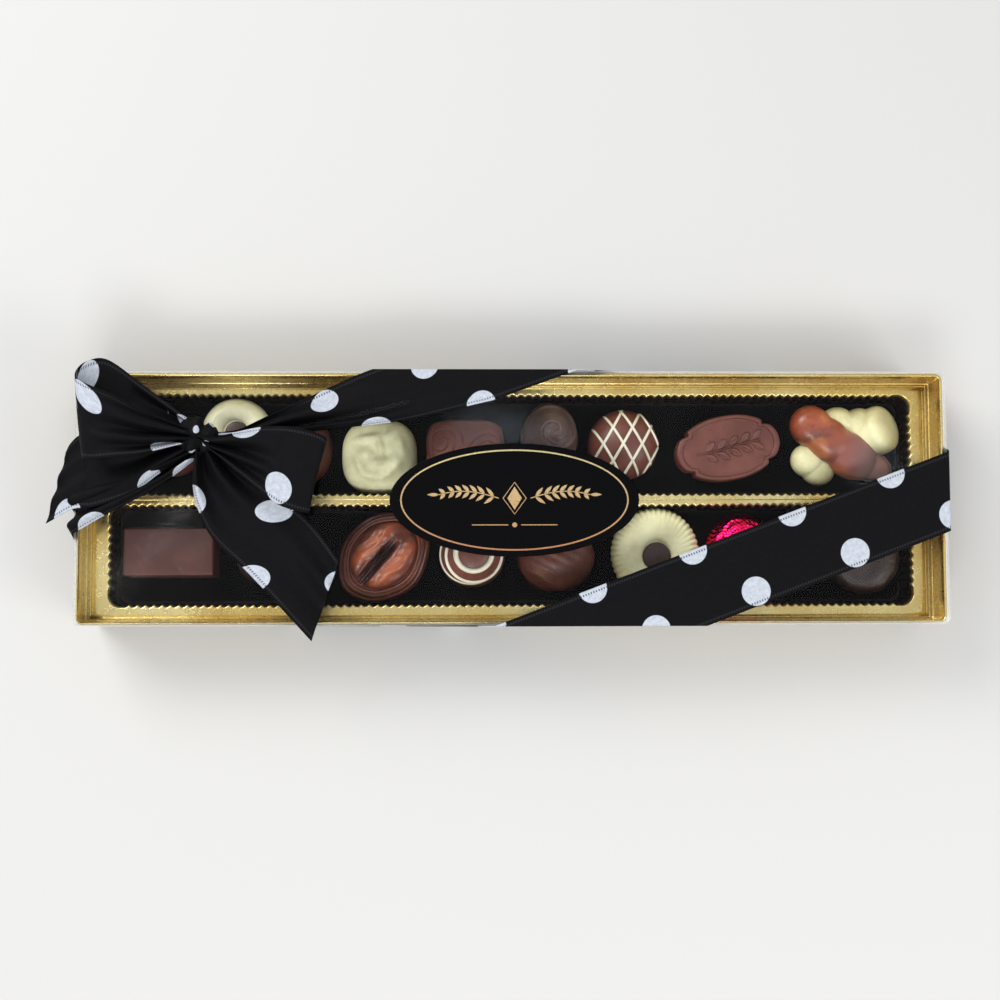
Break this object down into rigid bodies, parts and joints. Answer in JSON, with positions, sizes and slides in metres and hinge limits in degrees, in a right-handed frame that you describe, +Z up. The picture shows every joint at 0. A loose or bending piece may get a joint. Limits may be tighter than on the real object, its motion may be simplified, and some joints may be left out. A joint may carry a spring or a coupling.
{
  "type": "box of chocolate pralines",
  "caption": "Long shallow gift box with a clear lid, a gold tray of assorted chocolate pralines in rows, an oval sticker and a dotted ribbon tied in a bow.",
  "frame": {"origin": "bottom centre of the whole, bow and ribbon ends included, on the surface that it rests on", "axes": "+X along the box towards the end away from the bow, +Y across it to the back, +Z up through the lid"},
  "size_m": [0.312, 0.0962, 0.0454],
  "materials": {
    "clear_plastic": "clear, glossy, thin film",
    "white_card": "smooth white card",
    "gold_foil": "gold metallised, bright",
    "black_paper": "matt black paper",
    "ribbon_satin": "black satin with white dots",
    "sticker_paper": "black with gold printing, satin",
    "milk_chocolate": "tempered chocolate, soft gloss",
    "dark_chocolate": "tempered chocolate, soft gloss",
    "white_chocolate": "tempered chocolate, soft gloss",
    "marbled_chocolate": "white and caramel brown, soft gloss",
    "walnut_chocolate": "walnut half on milk chocolate",
    "red_foil": "crimson wrapping foil, pleated"
  },
  "bodies": {
    "root": {"clear_lid": "clear_plastic", "card_base": "white_card", "gold_tray": "gold_foil", "liner_back": "black_paper", "liner_front": "black_paper", "oval_sticker": "sticker_paper", "milk_round": "milk_chocolate", "white_ring": "white_chocolate", "white_ring_centre": "dark_chocolate", "milk_oval": "milk_chocolate", "cream_relief": "white_chocolate", "milk_barrel": "milk_chocolate", "dark_horn": "dark_chocolate", "lattice_dome": "milk_chocolate", "oval_plaque": "milk_chocolate", "marbled_knot": "marbled_chocolate", "milk_bar": "milk_chocolate", "dark_dome": "dark_chocolate", "walnut_praline": "walnut_chocolate", "ringed_dome": "milk_chocolate", "milk_heart": "milk_chocolate", "fluted_disc": "white_chocolate", "fluted_disc_centre": "dark_chocolate", "foil_ball": "red_foil", "milk_square": "milk_chocolate", "dark_button": "dark_chocolate", "ribbon_knot": "ribbon_satin", "ribbon_right_band": "ribbon_satin", "ribbon_under_right": "ribbon_satin", "ribbon_under_left": "ribbon_satin", "ribbon_back_run": "ribbon_satin", "ribbon_left_run": "ribbon_satin", "ribbon_tail_left": "ribbon_satin", "ribbon_tail_right": "ribbon_satin", "ribbon_loop_left": "ribbon_satin", "ribbon_loop_right": "ribbon_satin"}
  },
  "joints": []
}
